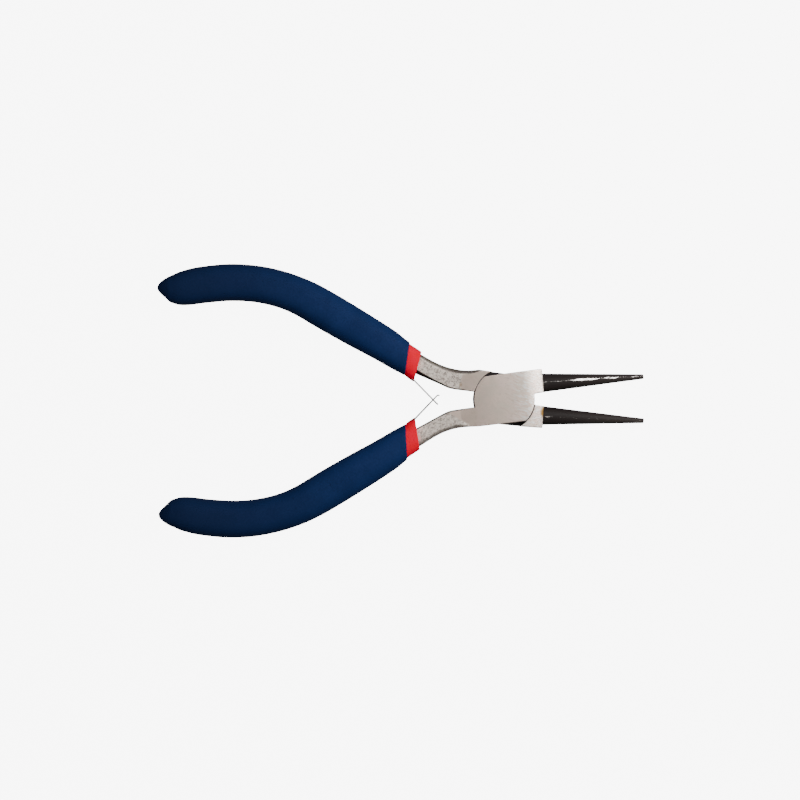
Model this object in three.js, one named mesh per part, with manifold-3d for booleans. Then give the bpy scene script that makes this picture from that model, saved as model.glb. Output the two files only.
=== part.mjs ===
// Round nose pliers for jewellery work, in millimetres, +Z up.
// Two identical forgings cross in a lap joint on one flush rivet. The rear one is the front one turned half
// a turn about the X axis. The tool lies flat with its jaws towards +X, opened as its leaf springs hold it.
// The origin is on the pivot axis, on the joint's ground back face.
import * as THREE from "three";
import { mergeVertices } from "three/addons/utils/BufferGeometryUtils.js";
import Module from "manifold-3d";

const wasm = await Module();
wasm.setup();

// Driving dimensions. A half is drawn with its handle at -X, -Y, its jaw at +X, +Y and its lap plate at +Z.
const OPEN_DEG = 7.33; // how far each half stands open of its drawn position
const CLEARANCE = 0.05; // between pieces that touch or that one dip coats
const JOINT = { thickness: 7.6, discRadius: 7.75, shoulderRadius: 7.88, lapGap: 0.06 };
const RIVET = { shank: 2, head: 2.8, headDepth: 0.8, land: 0.1, runningGap: 0.05, pressGap: 0.02 };
const JAW_BASE = { end: 10.4, lean: 0.15, inner: 0.42, flatTo: 5.5, endHalfThickness: 3.2 };
const CONE = {
  start: 10.35,
  length: 26.05,
  baseRadius: 2.43,
  tipRadius: 0.6,
  inner: 0.45,
  sunk: 0.8,
  nose: 0.12,
};
const NECK = { inner: 1.02, flatFrom: -11.5, collarX: -23.15, collarHalfThickness: 2.6, earlyFall: 0.6 };
const NECK_BEVEL = { x: -15.7, y: -1.75, z: -2.9, slopeDeg: 24.8, width: 1.2, depth: 2.4 };
// The forgings are finished by hand, so their edges differ a little.
const EDGES = {
  front: { top: 6.5, bottom: 5.95, bottomRight: 6.15, baseOuter: 6.47, neckOuter: 5.7, collarInner: 4.4 },
  rear: { top: 6.45, bottom: 6.7, bottomRight: 6.55, baseOuter: 6.05, neckOuter: 6.1, collarInner: 3.8 },
};
const HANDLE = { x: -21.75, y: -5.65, slopeDeg: 23.3, straight: 32.1, bendRadius: 42, bendDeg: 36 };
const TANG = { end: 66, outer: 2.4, inner: 2, endTaper: 0.3, halfThickness: 2, fallPerMm: 0.02 };
// corner is the exponent of the grips' oval sections, where 2 would be an ellipse.
const DIP = { redEndX: -23.2, redLeanDeg: 3.3, blueEndX: -26.1, corner: 2.6, sides: 24, wall: 0.5 };
const LEAF = {
  thickness: 0.34,
  width: 4,
  exitX: -23,
  exitY: -1.72,
  slopeDeg: 38.6,
  flexGap: 0.22,
  pastExit: 2,
};
const LEAF_ROOT = { length: 8.6, pad: 6.4, padTurnDeg: 0.3, headOffset: 3.2 };
const BLADE = { neckAt: 5.2, tongueAt: 5.7, length: 8.5, slotFrom: 5.9, slotTo: 8, slotWidth: 2.3 };
const TONGUE = { width: 1.6, straightTo: 8.35, curlRadius: 0.4, curlDeg: 100 };
const SPRING_HOLE = { throughTang: 12, throughPad: 2 };
const SPRING_RIVET = { shank: 0.9, head: 1.5, headTop: 1.2, headHeight: 0.5, length: 3.2 };

const HALF = JOINT.thickness / 2;
const REACH = 60; // past everything across the tool, for cutting blocks
const BEYOND_TANG = -100;
const rad = THREE.MathUtils.degToRad;

// Solids.
function solid(geometry) {
  const bare = geometry.clone();
  for (const name of Object.keys(bare.attributes)) if (name !== "position") bare.deleteAttribute(name);
  const merged = mergeVertices(bare, 1e-4);
  return new wasm.Manifold(
    new wasm.Mesh({
      numProp: 3,
      vertProperties: new Float32Array(merged.attributes.position.array),
      triVerts: new Uint32Array(merged.index.array),
    }),
  );
}

function geometryOf(manifold) {
  const mesh = manifold.getMesh();
  const geometry = new THREE.BufferGeometry();
  geometry.setAttribute("position", new THREE.BufferAttribute(new Float32Array(mesh.vertProperties), 3));
  geometry.setIndex(new THREE.BufferAttribute(new Uint32Array(mesh.triVerts), 1));
  geometry.computeVertexNormals();
  return geometry;
}

// A plan outline made into a plate between two heights.
function plate(shape, low, high, curveSegments = 16) {
  const options = { depth: high - low, bevelEnabled: false, curveSegments };
  return new THREE.ExtrudeGeometry(shape, options).translate(0, 0, low);
}

// A box given by its length along a direction in plan, its width across it and its two heights.
function bar(start, slope, length, width, low, high, shift = 0) {
  return new THREE.BoxGeometry(length, width, high - low)
    .translate(length / 2, shift, (low + high) / 2)
    .rotateZ(slope)
    .translate(start.x, start.y, 0);
}

// The handle's centre line: straight, then bent inwards round an arc, then straight to its end.
function handlePoint(s, offset = 0) {
  const slope = rad(HANDLE.slopeDeg);
  const bend = rad(HANDLE.bendDeg);
  const along = Math.min(s, HANDLE.straight);
  const turned = THREE.MathUtils.clamp((s - HANDLE.straight) / HANDLE.bendRadius, 0, bend);
  const tail = Math.max(0, s - HANDLE.straight - HANDLE.bendRadius * bend);
  const point = new THREE.Vector2(
    HANDLE.x - along * Math.cos(slope),
    HANDLE.y - along * Math.sin(slope),
  );
  point.x -= HANDLE.bendRadius * (Math.sin(slope) - Math.sin(slope - turned));
  point.y -= HANDLE.bendRadius * (Math.cos(slope - turned) - Math.cos(slope));
  const heading = slope - turned;
  point.x -= tail * Math.cos(heading);
  point.y -= tail * Math.sin(heading);
  // A positive offset is towards the other handle.
  return point.add(new THREE.Vector2(-Math.sin(heading), Math.cos(heading)).multiplyScalar(offset));
}

// Rows of [distance along the handle, then sizes], read at any distance with smooth steps between rows.
function readRows(rows, s) {
  const last = rows.length - 1;
  if (s <= rows[0][0]) return rows[0].slice(1);
  if (s >= rows[last][0]) return rows[last].slice(1);
  const k = rows.findIndex((row) => row[0] > s) - 1;
  const t = (s - rows[k][0]) / (rows[k + 1][0] - rows[k][0]);
  const before = rows[Math.max(0, k - 1)];
  const after = rows[Math.min(last, k + 2)];
  return rows[k].slice(1).map((_, i) => {
    const [a, b, c, d] = [before, rows[k], rows[k + 1], after].map((row) => row[i + 1]);
    const spline = new THREE.CatmullRomCurve3([a, b, c, d].map((v) => new THREE.Vector3(v, 0, 0)));
    return before === rows[k] || after === rows[k + 1]
      ? THREE.MathUtils.lerp(b, c, t)
      : spline.getPoint((1 + t) / 3).x;
  });
}

// A closed skin through oval rings along the handle. Each row holds the distance, the half width away from
// the other handle, the half width towards it, and the half thickness.
function handleLoft(rows, distances, grow) {
  const positions = [];
  const index = [];
  const sides = DIP.sides;
  const oval = 2 / DIP.corner;
  for (const s of distances) {
    const [outer, inner, thick] = readRows(rows, s).map((v) => v + grow);
    for (let i = 0; i < sides; i++) {
      const a = (2 * Math.PI * i) / sides;
      const across = Math.sign(Math.cos(a)) * Math.abs(Math.cos(a)) ** oval;
      const up = Math.sign(Math.sin(a)) * Math.abs(Math.sin(a)) ** oval;
      const p = handlePoint(s, across * (across > 0 ? inner : outer));
      positions.push(p.x, p.y, up * thick);
    }
  }
  const rings = distances.length;
  for (const s of [distances[0], distances[rings - 1]]) {
    const p = handlePoint(s);
    positions.push(p.x, p.y, 0);
  }
  for (let r = 0; r < rings - 1; r++) {
    for (let i = 0; i < sides; i++) {
      const [a, b] = [r * sides + i, r * sides + ((i + 1) % sides)];
      index.push(a, b + sides, b, a, a + sides, b + sides);
    }
  }
  const last = (rings - 1) * sides;
  for (let i = 0; i < sides; i++) {
    const next = (i + 1) % sides;
    index.push(rings * sides, i, next, rings * sides + 1, last + next, last + i);
  }
  const geometry = new THREE.BufferGeometry();
  geometry.setAttribute("position", new THREE.Float32BufferAttribute(positions, 3));
  geometry.setIndex(index);
  return geometry;
}

// The blue outer dip and the red inner dip: [distance, outer half width, inner half width, half thickness].
const BLUE_ROWS = [
  [-4, 3.3, 4.1, 3.85],
  [3, 3.6, 4.12, 4],
  [6.5, 3.95, 4.3, 4.1],
  [10.9, 4.55, 4.35, 4.25],
  [20, 4.9, 4.72, 4.4],
  [30, 5, 4.87, 4.4],
  [40, 4.72, 4.68, 4.4],
  [48, 4.62, 4.8, 4.4],
  [56, 4.56, 4.92, 4.4],
  [62, 4.43, 4.92, 4.3],
  [66, 3.96, 5.03, 4.05],
  [70, 2.83, 4.2, 3.3],
  [72, 1.93, 2.4, 2.3],
  [73.4, 0.7, 0.6, 0.9],
];
const RED_COLLAR_ROWS = [
  [-4, 2.9, 4.45, 3.4],
  [1.5, 3.1, 4.4, 3.5],
  [3, 3.22, 4, 3.58],
  [6.5, 3.45, 3.8, 3.65],
];
const RED_TIP = { from: 70, thinnest: 0.35 };
const RED_ROWS = RED_COLLAR_ROWS.concat(
  BLUE_ROWS.slice(RED_COLLAR_ROWS.length - 1).map(([s, ...sizes]) => {
    const end = s > RED_TIP.from ? s - DIP.wall : s;
    return [end, ...sizes.map((v) => Math.max(RED_TIP.thinnest, v - DIP.wall))];
  }),
);
const DIP_RINGS = [
  -4, 1.5, 4.7, 8, 11, 15, 20, 25, 30, 33, 36, 39, 42, 46, 50, 54, 58, 61, 64, 66, 68, 70, 71.4,
];
const RED_END = [72.5];
const BLUE_END = [72.4, 73.4];

// Half thickness of the forging along X: ground flat over the joint, falling away to the tang and to the jaw.
function halfThickness(x) {
  if (x > JAW_BASE.flatTo) {
    const t = (x - JAW_BASE.flatTo) / (JAW_BASE.end - JAW_BASE.flatTo);
    return THREE.MathUtils.lerp(HALF, JAW_BASE.endHalfThickness, t * t);
  }
  if (x > NECK.flatFrom) return HALF;
  const t = Math.min(1, (NECK.flatFrom - x) / (NECK.flatFrom - NECK.collarX));
  const fallen = t * (1 + NECK.earlyFall * (1 - t));
  if (x > NECK.collarX) return THREE.MathUtils.lerp(HALF, NECK.collarHalfThickness, fallen);
  return Math.max(TANG.halfThickness, NECK.collarHalfThickness + (x - NECK.collarX) * TANG.fallPerMm);
}

const THICKNESS_STOPS = [11.5, 10, 9, 8, 7, JAW_BASE.flatTo, NECK.flatFrom, -13, -14.5, -16, -18, -20, -22];

function thicknessProfile(grow) {
  const tangThin = NECK.collarX - (NECK.collarHalfThickness - TANG.halfThickness) / TANG.fallPerMm;
  const stops = THICKNESS_STOPS.concat([NECK.collarX, tangThin, BEYOND_TANG]);
  const top = stops.map((x) => new THREE.Vector2(x, halfThickness(x) + grow));
  const bottom = top.map((p) => new THREE.Vector2(p.x, -p.y)).reverse();
  return plate(new THREE.Shape(top.concat(bottom)), -REACH, REACH).rotateX(Math.PI / 2);
}

// The tang's half widths along the handle, as [distance, away from the other handle, towards it].
function tangRows(edges) {
  const slope = rad(HANDLE.slopeDeg);
  const collar = new THREE.Vector2(NECK.collarX - HANDLE.x, -edges.collarInner - HANDLE.y);
  return [
    [0, 2.72, collar.dot(new THREE.Vector2(-Math.sin(slope), Math.cos(slope)))],
    [8, 2.6, 1.5],
    [14.5, 2.4, 1.6],
    [18, TANG.outer, TANG.inner],
    [TANG.end, TANG.outer - TANG.endTaper, TANG.inner - TANG.endTaper],
  ];
}
const TANG_STOPS = [3, 6, 10, 14, 18, 25, 32, 35, 38, 41, 44, 47, 50, 53, 56, 59, TANG.end - 1];

// Control points of the outline's curves, where an edge's own height is not used.
const BASE_OUTER = { x: 3, bulge: 0.1 };
const NECK_INNER = { from: -12.4, bend: [-14.2, -1.04, -14.8, -1.25, -16.2, -1.75] };
const NECK_OUTER = { x: -20.2, y: -7.95, flatFrom: -17, flatTo: -11.7, turn: -10, end: -7.4, drop: 0.05 };
const MOUTH = { x: 8.15, rise: 0.2, cornerRise: 0.05 };

// The forging in plan: jaw base, lap plate, neck and tang.
function halfOutline(edges) {
  const { discRadius } = JOINT;
  const shape = new THREE.Shape();
  const topCorner = Math.PI - Math.asin(edges.top / discRadius);
  const neckAngle = Math.PI + Math.asin(NECK.inner / discRadius);
  const bottomCorner = 2 * Math.PI - Math.asin(edges.bottomRight / discRadius);
  const mouth = 2 * Math.PI + Math.asin(MOUTH.rise / discRadius);
  shape.moveTo(JAW_BASE.end - JAW_BASE.lean, JAW_BASE.inner + MOUTH.cornerRise);
  shape.lineTo(JAW_BASE.end + JAW_BASE.lean, edges.baseOuter);
  const topX = discRadius * Math.cos(topCorner);
  shape.quadraticCurveTo(BASE_OUTER.x, edges.top + BASE_OUTER.bulge, topX, edges.top);
  shape.absarc(0, 0, discRadius, topCorner, neckAngle, false);
  shape.lineTo(NECK_INNER.from, -NECK.inner);
  shape.bezierCurveTo(...NECK_INNER.bend);
  shape.lineTo(NECK.collarX, -edges.collarInner);
  const rows = tangRows(edges);
  for (const s of TANG_STOPS) {
    const p = handlePoint(s, readRows(rows, s)[1]);
    shape.lineTo(p.x, p.y);
  }
  const tip = handlePoint(TANG.end, 0);
  shape.lineTo(tip.x, tip.y);
  for (const s of [...TANG_STOPS].reverse()) {
    const p = handlePoint(s, -readRows(rows, s)[0]);
    shape.lineTo(p.x, p.y);
  }
  const { x, y, flatFrom, flatTo, turn, end, drop } = NECK_OUTER;
  shape.bezierCurveTo(x, y, flatFrom, -edges.neckOuter, flatTo, -edges.neckOuter);
  shape.quadraticCurveTo(turn, -edges.neckOuter, end, -edges.bottom - drop);
  shape.lineTo(discRadius * Math.cos(bottomCorner), -edges.bottomRight);
  shape.absarc(0, 0, discRadius, bottomCorner, mouth, false);
  shape.lineTo(MOUTH.x, JAW_BASE.inner);
  return shape;
}

// The jaw: a cone whose inner line runs parallel to X, with its root sunk in the jaw base.
function jawCone() {
  const taper = Math.atan((CONE.baseRadius - CONE.tipRadius) / CONE.length);
  const slope = Math.tan(taper);
  const profile = [
    [0, -CONE.sunk],
    [CONE.baseRadius + CONE.sunk * slope, -CONE.sunk],
    [CONE.tipRadius + CONE.nose * slope, CONE.length - CONE.nose],
    [CONE.tipRadius - CONE.nose, CONE.length],
    [0, CONE.length],
  ].map(([r, h]) => new THREE.Vector2(r, h));
  return new THREE.LatheGeometry(profile, 40)
    .rotateZ(-Math.PI / 2 - taper)
    .translate(CONE.start, CONE.inner + CONE.baseRadius / Math.cos(taper), 0);
}

// A solid of revolution about Z from [radius, height] pairs that start and end on the axis.
function turned(pairs, segments = 48) {
  const profile = pairs.map(([r, h]) => new THREE.Vector2(r, h));
  return new THREE.LatheGeometry(profile, segments).rotateX(Math.PI / 2);
}

// Pins and their holes share one profile: a shank with a countersunk head at one end or both.
function pivotProfile(gap, proud) {
  const top = HALF + proud;
  const neck = HALF - RIVET.headDepth;
  return [
    [0, -top],
    [RIVET.head + gap, -top],
    [RIVET.head + gap, -HALF + RIVET.land],
    [RIVET.shank + gap, -neck],
    [RIVET.shank + gap, neck],
    [RIVET.head + gap, HALF - RIVET.land],
    [RIVET.head + gap, top],
    [0, top],
  ];
}

// The chamfer along the neck's inner edge, on the side without the lap plate. It widens towards the tang.
function neckBevel() {
  const { x, y, z, slopeDeg, width, depth } = NECK_BEVEL;
  const block = { length: 60, width: 8, height: 16, shift: -10 };
  return new THREE.BoxGeometry(block.length, block.width, block.height)
    .translate(block.shift, block.width / 2, 0)
    .rotateX(-Math.atan2(width, depth))
    .translate(0, 0, z)
    .rotateZ(rad(slopeDeg))
    .translate(x, y, 0);
}

// The leaf spring's root: a pad riveted to the tang's inner edge, then bent to run out of the dip.
function leafFrame() {
  const slope = rad(LEAF.slopeDeg);
  const exit = new THREE.Vector2(LEAF.exitX, LEAF.exitY);
  const ray = new THREE.Vector2(Math.cos(slope), Math.sin(slope));
  const bend = exit.clone().addScaledVector(ray, -LEAF_ROOT.length);
  return { slope, exit, bend, padSlope: rad(HANDLE.slopeDeg - LEAF_ROOT.padTurnDeg) };
}

function leafRoot(grow, endGap) {
  const { slope, bend, padSlope } = leafFrame();
  const t = LEAF.thickness / 2 + grow;
  const w = LEAF.width / 2 + grow;
  const straight = bar(bend, slope, LEAF_ROOT.length - endGap, 2 * t, -w, w);
  const pad = bar(bend, padSlope + Math.PI, LEAF_ROOT.pad + grow, 2 * t, -w, w);
  const knee = new THREE.CylinderGeometry(t, t, 2 * w, 16).rotateX(Math.PI / 2).translate(bend.x, bend.y, 0);
  return solid(straight).add(solid(pad)).add(solid(knee));
}

// The rivet that holds the pad: its axis lies in plan, square to the tang's inner edge.
function springRivet(grow, length) {
  const { bend, padSlope } = leafFrame();
  const along = new THREE.Vector2(Math.cos(padSlope), Math.sin(padSlope));
  const back = along.multiplyScalar(-LEAF_ROOT.headOffset);
  const seat = LEAF.thickness / 2 + (grow ? 0 : CLEARANCE);
  const profile = [
    [0, -length],
    [SPRING_RIVET.shank + grow, -length],
    [SPRING_RIVET.shank + grow, seat],
    [SPRING_RIVET.head + grow, seat],
    [SPRING_RIVET.headTop + grow, seat + SPRING_RIVET.headHeight + grow],
    [0, seat + SPRING_RIVET.headHeight + grow],
  ].map(([r, h]) => new THREE.Vector2(r, h));
  return new THREE.LatheGeometry(profile, 24)
    .rotateZ(padSlope)
    .translate(bend.x + back.x, bend.y + back.y, 0);
}

// The blades start at the exit point, where they flex, and run along +X before they are turned into place.
function placeBlade(manifold) {
  const { slope, exit } = leafFrame();
  return geometryOf(manifold).rotateZ(slope).translate(exit.x, exit.y, 0);
}

function roundRoot() {
  const t = LEAF.thickness / 2;
  return solid(new THREE.CylinderGeometry(t, t, LEAF.width, 16).rotateX(Math.PI / 2));
}

function slottedBlade() {
  const t = LEAF.thickness / 2;
  const w = LEAF.width / 2;
  const origin = new THREE.Vector2(0, 0);
  const strip = solid(bar(origin, 0, BLADE.length, 2 * t, -w, w)).add(roundRoot());
  const slotStart = new THREE.Vector2(BLADE.slotFrom, 0);
  const half = BLADE.slotWidth / 2;
  const slotLength = BLADE.slotTo - BLADE.slotFrom;
  return strip.subtract(solid(bar(slotStart, 0, slotLength, LEAF.width, -half, half)));
}

function tonguedBlade() {
  const t = LEAF.thickness / 2;
  const { straightTo, curlRadius, curlDeg, width } = TONGUE;
  const side = new THREE.Shape();
  side.moveTo(0, -t);
  side.lineTo(straightTo, -t);
  const turn = rad(curlDeg);
  side.absarc(straightTo, -curlRadius, curlRadius - t, Math.PI / 2, Math.PI / 2 - turn, true);
  side.absarc(straightTo, -curlRadius, curlRadius + t, Math.PI / 2 - turn, Math.PI / 2, false);
  side.lineTo(0, t);
  const w = LEAF.width / 2;
  const strip = solid(plate(side, -w, w, 8)).add(roundRoot());
  const face = new THREE.Shape(
    [
      [-BLADE.length, -w],
      [BLADE.neckAt, -w],
      [BLADE.tongueAt, -width / 2],
      [2 * BLADE.length, -width / 2],
      [2 * BLADE.length, width / 2],
      [BLADE.tongueAt, width / 2],
      [BLADE.neckAt, w],
      [-BLADE.length, w],
    ].map(([x, z]) => new THREE.Vector2(x, z)),
  );
  return strip.intersect(solid(plate(face, -LEAF.width, LEAF.width).rotateX(Math.PI / 2)));
}

// One forging. boreGap is the pivot hole's clearance on the rivet's shank.
function forging(edges, boreGap) {
  const { thickness, shoulderRadius, lapGap } = JOINT;
  const depth = thickness;
  const recess = new THREE.CylinderGeometry(shoulderRadius, shoulderRadius, depth, 96)
    .rotateX(Math.PI / 2)
    .translate(0, 0, lapGap / 2 - depth / 2);
  const plan = solid(plate(halfOutline(edges), -HALF - 1, HALF + 1, 24));
  return plan
    .intersect(solid(thicknessProfile(0)))
    .subtract(solid(recess))
    .subtract(solid(neckBevel()))
    .add(solid(jawCone()))
    .subtract(solid(turned(pivotProfile(boreGap, 1))))
    .subtract(solid(springRivet(CLEARANCE, SPRING_HOLE.throughTang)));
}

// What the inner dip coats: the tang and the leaf's root, each a clearance larger.
function coated(edges) {
  const rows = tangRows(edges);
  const stops = [-3, 0, ...TANG_STOPS, TANG.end + CLEARANCE];
  const inner = stops.map((s) => handlePoint(s, readRows(rows, s)[1] + CLEARANCE));
  const outer = stops.map((s) => handlePoint(s, -readRows(rows, s)[0] - CLEARANCE));
  const shape = new THREE.Shape(inner.concat(outer.reverse()));
  const tang = solid(plate(shape, -HALF, HALF)).intersect(solid(thicknessProfile(CLEARANCE)));
  const head = solid(springRivet(CLEARANCE, SPRING_RIVET.length + CLEARANCE));
  return tang.add(leafRoot(CLEARANCE, -LEAF.pastExit)).add(head);
}

// Everything from endX to the joint, removed so that a dip ends on a plane nearly square to the closed tool.
function beyond(endX, leanDeg = 0) {
  const block = new THREE.BoxGeometry(REACH, REACH, REACH).translate(REACH / 2, 0, 0).rotateZ(rad(leanDeg));
  return solid(block.translate(endX, HANDLE.y, 0));
}

function innerDip(edges) {
  const skin = solid(handleLoft(RED_ROWS, DIP_RINGS.concat(RED_END), 0));
  return skin.subtract(beyond(DIP.redEndX, DIP.redLeanDeg)).subtract(coated(edges));
}

function outerDip() {
  const skin = solid(handleLoft(BLUE_ROWS, DIP_RINGS.concat(BLUE_END), 0));
  const core = solid(handleLoft(RED_ROWS, DIP_RINGS.concat(RED_END), CLEARANCE));
  return skin.subtract(beyond(DIP.blueEndX)).subtract(core);
}

// Finishes.
function finish(color, roughness, metalness) {
  return new THREE.MeshStandardMaterial({ color, roughness, metalness });
}
const steel = () => finish(0xb4aaa2, 0.35, 1);
const springSteel = () => finish(0xa9a9a6, 0.3, 1);
const redVinyl = () => finish(0xe2222f, 0.45, 0);
const blueVinyl = () => finish(0x132d50, 0.8, 0);

function node(name, shape, material) {
  const geometry = shape.isBufferGeometry ? shape : geometryOf(shape);
  const mesh = new THREE.Mesh(geometry, material);
  mesh.name = name;
  return mesh;
}

// Each half holds its forging, its two dips, its leaf spring and the rivet that holds the spring.
function half(side, boreGap, blade) {
  const group = new THREE.Group();
  group.add(node(`${side}_half`, forging(EDGES[side], boreGap), steel()));
  group.add(node(`${side}_grip_inner`, innerDip(EDGES[side]), redVinyl()));
  group.add(node(`${side}_grip_outer`, outerDip(), blueVinyl()));
  group.add(node(`${side}_spring_rivet`, springRivet(0, SPRING_RIVET.length), steel()));
  const root = leafRoot(0, LEAF.flexGap).subtract(solid(springRivet(CLEARANCE, SPRING_HOLE.throughPad)));
  group.add(node(`${side}_spring_root`, root, springSteel()));
  group.add(node(`${side}_spring_blade`, placeBlade(blade), springSteel()));
  return group;
}

const front = half("front", RIVET.pressGap, tonguedBlade());
front.rotation.z = rad(OPEN_DEG);
const rear = half("rear", RIVET.runningGap, slottedBlade());
rear.rotation.set(Math.PI, 0, rad(OPEN_DEG));

const pliers = new THREE.Group();
pliers.add(front, rear, node("pivot_rivet", turned(pivotProfile(0, 0)), steel()));
pliers.position.z = HALF;

export default pliers;
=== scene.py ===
import math

import bmesh
import bpy
import numpy as np
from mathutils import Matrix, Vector


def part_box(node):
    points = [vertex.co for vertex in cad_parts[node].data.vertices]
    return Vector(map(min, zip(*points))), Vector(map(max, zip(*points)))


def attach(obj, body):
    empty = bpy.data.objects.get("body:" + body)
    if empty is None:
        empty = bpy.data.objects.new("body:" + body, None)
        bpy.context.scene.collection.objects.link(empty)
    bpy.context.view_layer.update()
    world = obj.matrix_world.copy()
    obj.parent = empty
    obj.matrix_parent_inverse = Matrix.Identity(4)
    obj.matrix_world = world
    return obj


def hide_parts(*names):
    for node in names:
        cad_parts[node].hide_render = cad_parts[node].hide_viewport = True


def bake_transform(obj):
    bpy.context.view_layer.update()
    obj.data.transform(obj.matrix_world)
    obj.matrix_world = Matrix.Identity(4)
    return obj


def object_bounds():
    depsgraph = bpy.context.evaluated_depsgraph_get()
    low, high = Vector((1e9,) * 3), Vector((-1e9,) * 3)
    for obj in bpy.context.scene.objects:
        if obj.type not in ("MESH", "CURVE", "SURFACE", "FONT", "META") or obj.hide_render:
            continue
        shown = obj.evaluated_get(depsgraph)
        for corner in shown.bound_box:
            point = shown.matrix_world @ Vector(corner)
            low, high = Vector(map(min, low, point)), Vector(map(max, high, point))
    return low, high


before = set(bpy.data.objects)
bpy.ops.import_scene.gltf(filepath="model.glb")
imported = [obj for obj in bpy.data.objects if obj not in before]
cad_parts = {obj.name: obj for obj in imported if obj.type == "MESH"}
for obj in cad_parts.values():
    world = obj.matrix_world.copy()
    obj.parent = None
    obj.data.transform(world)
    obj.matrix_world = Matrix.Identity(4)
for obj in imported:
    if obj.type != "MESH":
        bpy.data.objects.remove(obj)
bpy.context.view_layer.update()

# Shapes are worked out in millimetres with the tool closed, one half at a time: handle at -X, -Y, jaw at
# +X, +Y, lap plate at +Z, middle plane at z = 0. The rear half is the same shape turned over about X.
tool = {
    "openDegrees": 7.33,
    "middle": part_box("front_half")[1].z / 2,
    "mm": 0.001,
}

joint = {
    "halfThickness": tool["middle"] * 1000,
    "discRadius": 7.75,
    "neckShoulder": 7.83,
    "jawShoulder": 7.9,
    "lap": 0.03,
    "lapEdge": 0.08,
}
jawBase = {"end": 10.4, "lean": 0.15, "inner": 0.42, "flatTo": 5.5, "endHalfThickness": 3.2}
cone = {"baseRadius": 2.43, "tipRadius": 0.6, "length": 26.05, "inner": 0.45, "nose": 0.16}
neck = {
    "inner": 1.02,
    "flatFrom": -11.5,
    "collarX": -23.15,
    "bevelSlope": 24.8,
    "bevel": 1.75,
    "bevelDepth": 2.4,
    "bevelFoot": (-15.7, -1.75, -2.9),
    "bevelUntil": -10.0,
    "bevelEdge": 0.12,
}
crown = {"radius": 245.0}  # the ground faces are a little rounded along the tool
tang = {"cutAt": 9.0, "end": 66.0, "halfThickness": 2.0}
pivot = {"shank": 2.0, "head": 2.8, "proud": 0.004, "cover": 0.4}
handle = {"x": -21.75, "y": -5.65, "slope": 23.3, "straight": 32.1, "bendRadius": 42, "bendDegrees": 36}


def inPlace(points, side):  # millimetres in a closed half's frame to metres in the part's frame
    points = np.asarray(points, float)
    turn = math.radians(tool["openDegrees"])
    x = points[:, 0] * math.cos(turn) - points[:, 1] * math.sin(turn)
    y = points[:, 0] * math.sin(turn) + points[:, 1] * math.cos(turn)
    over = 1 if side == "front" else -1
    placed = np.stack([x, over * y, over * points[:, 2]], 1) * tool["mm"]
    placed[:, 2] += tool["middle"]
    return placed


def handlePoint(s, offset=0.0):  # a place s along the handle's centre line, offset towards the other handle
    slope = math.radians(handle["slope"])
    bend = math.radians(handle["bendDegrees"])
    radius = handle["bendRadius"]
    turned = min(max((s - handle["straight"]) / radius, 0), bend)
    along = min(s, handle["straight"])
    tail = max(0, s - handle["straight"] - radius * bend)
    heading = slope - turned
    x = handle["x"] - along * math.cos(slope) - radius * (math.sin(slope) - math.sin(heading))
    y = handle["y"] - along * math.sin(slope) - radius * (math.cos(heading) - math.cos(slope))
    x -= tail * math.cos(heading) + offset * math.sin(heading)
    y -= tail * math.sin(heading) - offset * math.cos(heading)
    return x, y


def arc(radius, start, end, steps=24):
    angles = np.linspace(start, end, steps)
    return [(radius * math.cos(a), radius * math.sin(a)) for a in angles]


def bezier(*corners, steps=16):  # any number of control points
    line = []
    for t in np.linspace(0, 1, steps):
        level = [np.array(c, float) for c in corners]
        while len(level) > 1:
            level = [a * (1 - t) + b * t for a, b in zip(level, level[1:])]
        line.append(tuple(level[0]))
    return line


def meshObject(name, points, faces, smooth=True):
    mesh = bpy.data.meshes.new(name)
    mesh.from_pydata([tuple(p) for p in points], [], [tuple(f) for f in faces])
    mesh.polygons.foreach_set("use_smooth", [smooth] * len(mesh.polygons))
    mesh.update()
    made = bpy.data.objects.new(name, mesh)
    bpy.context.scene.collection.objects.link(made)
    return made


class Term:  # a socket that can be used in arithmetic
    def __init__(self, graph, socket):
        self.graph = graph
        self.socket = socket

    def maths(self, operation, *values):
        return self.graph.maths(operation, *values)

    def __add__(self, other):
        return self.maths("ADD", self, other)

    def __radd__(self, other):
        return self.maths("ADD", other, self)

    def __sub__(self, other):
        return self.maths("SUBTRACT", self, other)

    def __rsub__(self, other):
        return self.maths("SUBTRACT", other, self)

    def __mul__(self, other):
        return self.maths("MULTIPLY", self, other)

    def __rmul__(self, other):
        return self.maths("MULTIPLY", other, self)

    def __truediv__(self, other):
        return self.maths("DIVIDE", self, other)

    def __rtruediv__(self, other):
        return self.maths("DIVIDE", other, self)

    def __pow__(self, other):
        return self.maths("POWER", self, other)

    def out(self, name):
        return Term(self.graph, self.socket.node.outputs[name])


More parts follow.
